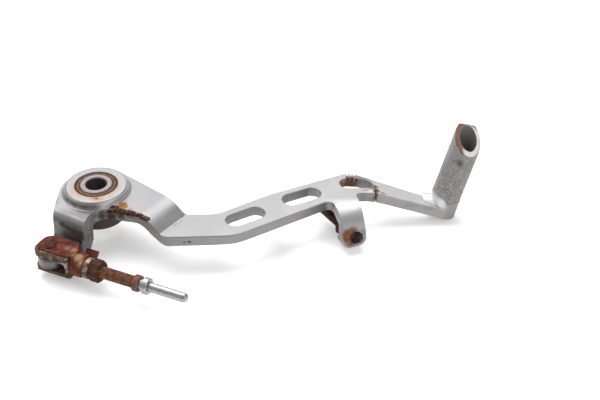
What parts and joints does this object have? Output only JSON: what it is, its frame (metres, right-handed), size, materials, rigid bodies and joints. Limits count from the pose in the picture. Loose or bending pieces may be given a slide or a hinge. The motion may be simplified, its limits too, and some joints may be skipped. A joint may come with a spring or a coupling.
{
  "type": "motorcycle rear brake pedal",
  "caption": "Forged foot pedal that turns on a sealed pivot bearing, with a knurled toe peg and a clevis push rod for the brake cylinder; tip bent and cracked.",
  "frame": {"origin": "middle of the pivot bore", "axes": "+Z along the pivot axis to the outer side, +X towards the toe peg, +Y away from the push rod"},
  "size_m": [0.2131, 0.0906, 0.0486],
  "materials": {
    "forged_alloy": "satin bare alloy, worn, with grime, brown stains and cracks",
    "bearing_steel": "smooth ground steel",
    "seal_rubber": "matt, stained brown with rust",
    "sleeve_steel": "turned steel, dull",
    "black_steel": "blackened steel",
    "rusted_steel": "dark red and brown rust",
    "stained_steel": "dull plated steel with brown rust",
    "rod_steel": "dull steel, thread rusted brown"
  },
  "bodies": {
    "lever": {"pedal_lever": "forged_alloy", "bearing_cup": "bearing_steel", "upper_seal": "seal_rubber", "lower_seal": "seal_rubber", "stop_screw": "black_steel", "stop_nut": "rusted_steel"},
    "sleeve": {"pivot_sleeve": "sleeve_steel"},
    "cage": {"bearing_cage": "bearing_steel", "bearing_needles": "bearing_steel"},
    "linkage": {"clevis_fork": "stained_steel", "clevis_pin": "rusted_steel", "clevis_clip": "rusted_steel", "lock_nut": "rusted_steel", "push_rod": "rod_steel"}
  },
  "joints": [
    {"name": "sleeve_turn", "type": "hinge", "parent": "lever", "child": "sleeve", "pos_m": [0, 0, 0], "axis": [0, 0, 1], "continuous": true},
    {"name": "cage_turn", "type": "hinge", "parent": "lever", "child": "cage", "pos_m": [0, 0, 0], "axis": [0, 0, 1], "continuous": true},
    {"name": "linkage_swing", "type": "hinge", "parent": "lever", "child": "linkage", "pos_m": [-0.01806, -0.03218, -0.0096], "axis": [0, 0, 1], "range_deg": [-150, 6]}
  ],
  "couplings": [
    {"joint": "cage_turn", "follows": "sleeve_turn", "ratio": 0.452}
  ]
}
